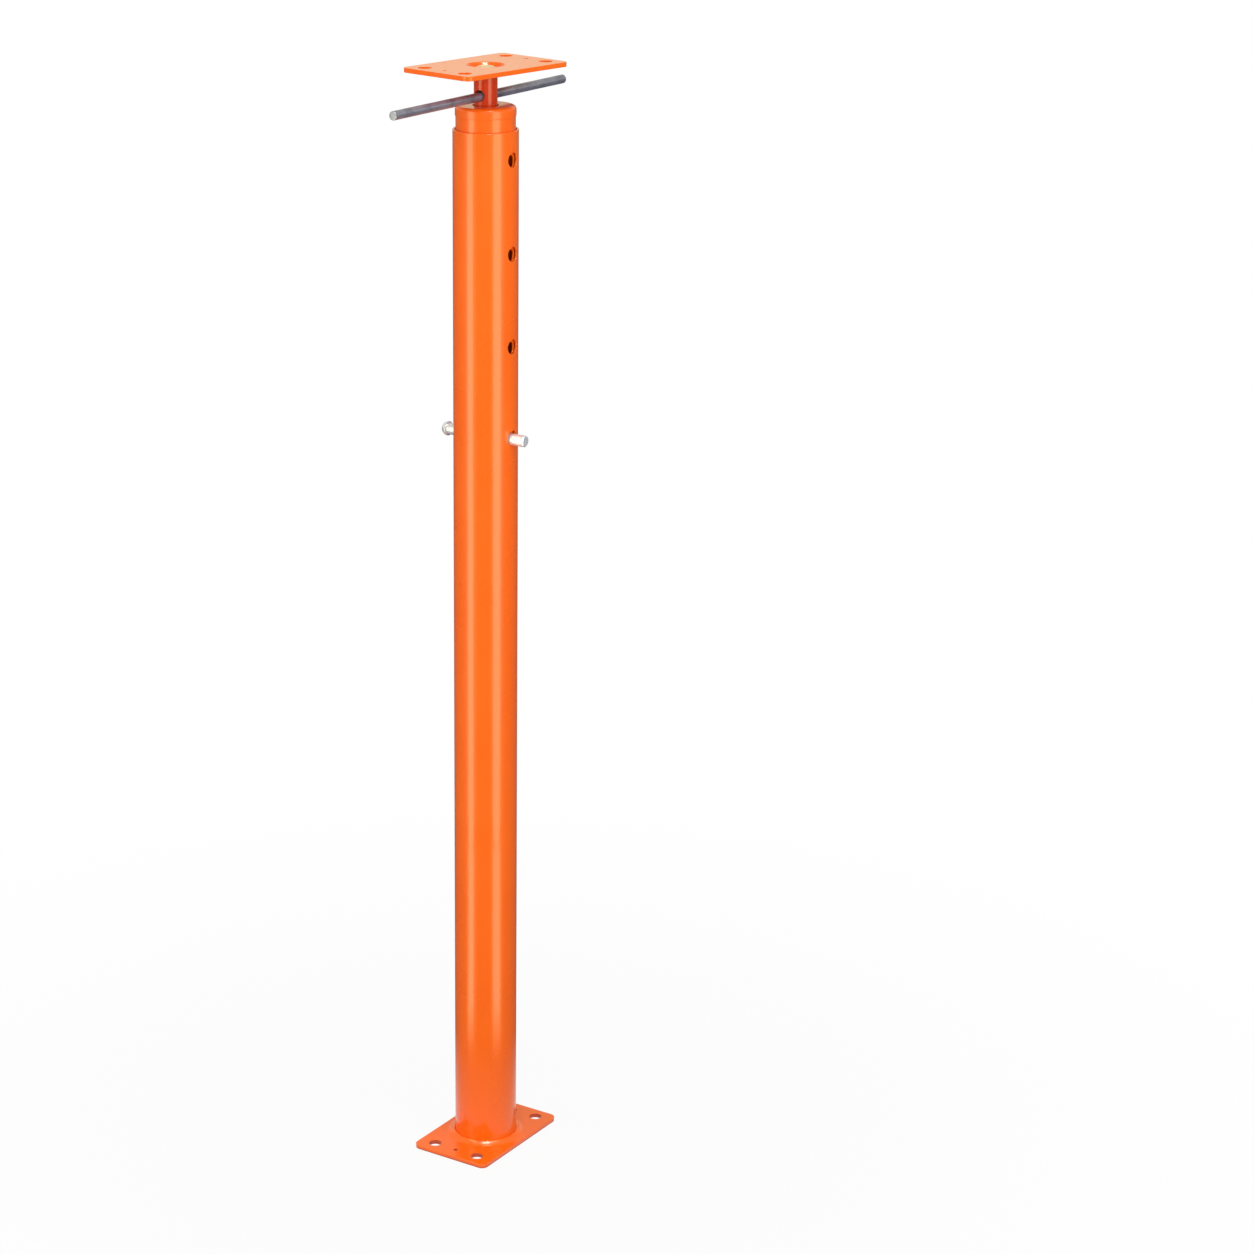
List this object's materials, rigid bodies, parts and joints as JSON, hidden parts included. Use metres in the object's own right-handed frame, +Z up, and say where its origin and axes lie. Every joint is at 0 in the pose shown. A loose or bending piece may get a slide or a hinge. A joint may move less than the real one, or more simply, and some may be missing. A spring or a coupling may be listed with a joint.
{
  "type": "adjustable jack post",
  "caption": "Telescoping steel jack post: two tubes held by a locking pin, with a jack screw, turning bar and swivelling top plate over a drilled base plate.",
  "frame": {"origin": "centre of the base plate's underside, on the tubes' axis", "axes": "+Z up along the tubes, X along the base plate's long side, Y along the locking pin, whose free end points to -Y"},
  "size_m": [0.3052, 0.1204, 1.2349],
  "materials": {
    "orange_powder_coat": "glossy orange powder coat",
    "zinc_plate": "zinc plated steel, satin",
    "bright_pin": "bright zinc plate, polished",
    "bar_steel": "drawn steel bar, blue-grey, faintly mottled",
    "plain_steel": "bare oiled steel"
  },
  "bodies": {
    "outer_post": {"base_plate": "orange_powder_coat", "outer_tube": "orange_powder_coat", "foot_weld": "orange_powder_coat"},
    "inner_post": {"inner_tube": "orange_powder_coat", "tube_cap": "orange_powder_coat", "screw_nut": "plain_steel", "nut_weld": "plain_steel"},
    "lift_collar": {"retaining_washer": "zinc_plate"},
    "screw": {"jack_screw": "zinc_plate", "screw_sleeve": "orange_powder_coat"},
    "bar": {"turning_bar": "bar_steel"},
    "head_plate": {"top_plate": "orange_powder_coat"},
    "pin": {"locking_pin": "bright_pin"}
  },
  "joints": [
    {"name": "inner_tube_slide", "type": "slide", "parent": "outer_post", "child": "inner_post", "axis": [0, 0, 1], "range_m": [0, 0.6]},
    {"name": "screw_lift", "type": "slide", "parent": "inner_post", "child": "lift_collar", "axis": [0, 0, 1], "range_m": [0, 0.0961]},
    {"name": "screw_turn", "type": "hinge", "parent": "lift_collar", "child": "screw", "pos_m": [0, 0, 1.2], "axis": [0, 0, 1], "range_deg": [0, 5760]},
    {"name": "bar_slide", "type": "slide", "parent": "screw", "child": "bar", "axis": [0.9997, -0.0227, 0], "range_m": [-0.1, 0.12]},
    {"name": "top_plate_swivel", "type": "hinge", "parent": "lift_collar", "child": "head_plate", "pos_m": [0, 0, 1.23], "axis": [0, 0, 1], "continuous": true},
    {"name": "pin_draw", "type": "slide", "parent": "outer_post", "child": "pin", "axis": [0, 1, 0], "range_m": [0, 0.11]}
  ],
  "couplings": [
    {"joint": "screw_lift", "follows": "screw_turn", "m_per_rad": 0.00095493}
  ]
}
